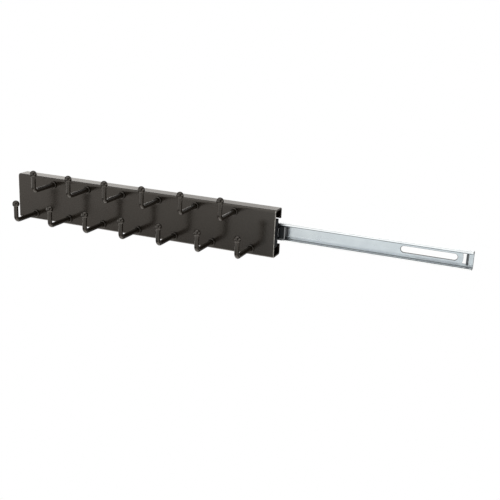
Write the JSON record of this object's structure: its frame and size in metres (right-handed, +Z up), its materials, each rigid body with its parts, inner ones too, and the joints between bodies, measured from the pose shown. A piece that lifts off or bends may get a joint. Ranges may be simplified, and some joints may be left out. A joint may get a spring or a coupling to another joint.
{
  "type": "pull-out tie rack",
  "caption": "Pull-out tie rack: a lipped steel panel with two rows of ball-tipped L hooks, which runs on a ball slide in a wall-fixed rail.",
  "frame": {"origin": "on the rear face of the wall rail, at the centre of its length and height", "axes": "+X along the rack, the way it slides shut; +Y towards the wall; +Z up"},
  "size_m": [0.577, 0.0689, 0.0744],
  "materials": {
    "bronze_paint": "satin dark bronze",
    "zinc_plate": "bright zinc plate",
    "ball_steel": "polished",
    "black_plastic": "satin"
  },
  "bodies": {
    "wall": {"wall_rail": "zinc_plate"},
    "rack": {"rack_panel": "bronze_paint", "hook_lower_1": "bronze_paint", "hook_lower_2": "bronze_paint", "hook_lower_3": "bronze_paint", "hook_lower_4": "bronze_paint", "hook_lower_5": "bronze_paint", "hook_lower_6": "bronze_paint", "hook_lower_7": "bronze_paint", "hook_upper_1": "bronze_paint", "hook_upper_2": "bronze_paint", "hook_upper_3": "bronze_paint", "hook_upper_4": "bronze_paint", "hook_upper_5": "bronze_paint", "hook_upper_6": "bronze_paint", "hook_tip_lower_1": "bronze_paint", "hook_tip_lower_2": "bronze_paint", "hook_tip_lower_3": "bronze_paint", "hook_tip_lower_4": "bronze_paint", "hook_tip_lower_5": "bronze_paint", "hook_tip_lower_6": "bronze_paint", "hook_tip_lower_7": "bronze_paint", "hook_tip_upper_1": "bronze_paint", "hook_tip_upper_2": "bronze_paint", "hook_tip_upper_3": "bronze_paint", "hook_tip_upper_4": "bronze_paint", "hook_tip_upper_5": "bronze_paint", "hook_tip_upper_6": "bronze_paint", "hook_collar_lower_1": "bronze_paint", "hook_collar_lower_2": "bronze_paint", "hook_collar_lower_3": "bronze_paint", "hook_collar_lower_4": "bronze_paint", "hook_collar_lower_5": "bronze_paint", "hook_collar_lower_6": "bronze_paint", "hook_collar_lower_7": "bronze_paint", "hook_collar_upper_1": "bronze_paint", "hook_collar_upper_2": "bronze_paint", "hook_collar_upper_3": "bronze_paint", "hook_collar_upper_4": "bronze_paint", "hook_collar_upper_5": "bronze_paint", "hook_collar_upper_6": "bronze_paint", "rail_spacer": "black_plastic", "rack_rail": "zinc_plate", "rail_nut_1": "zinc_plate", "rail_nut_2": "zinc_plate", "rail_nut_3": "zinc_plate", "rail_bumper": "black_plastic"},
    "ball_cage": {"ball_retainer": "black_plastic", "ball_upper_1": "ball_steel", "ball_upper_2": "ball_steel", "ball_upper_3": "ball_steel", "ball_upper_4": "ball_steel", "ball_upper_5": "ball_steel", "ball_lower_1": "ball_steel", "ball_lower_2": "ball_steel", "ball_lower_3": "ball_steel", "ball_lower_4": "ball_steel", "ball_lower_5": "ball_steel"}
  },
  "joints": [
    {"name": "rack_slide", "type": "slide", "parent": "wall", "child": "rack", "axis": [1, 0, 0], "range_m": [0, 0.206]},
    {"name": "cage_slide", "type": "slide", "parent": "wall", "child": "ball_cage", "axis": [1, 0, 0], "range_m": [0, 0.103]}
  ],
  "couplings": [
    {"joint": "cage_slide", "follows": "rack_slide", "ratio": 0.5}
  ]
}
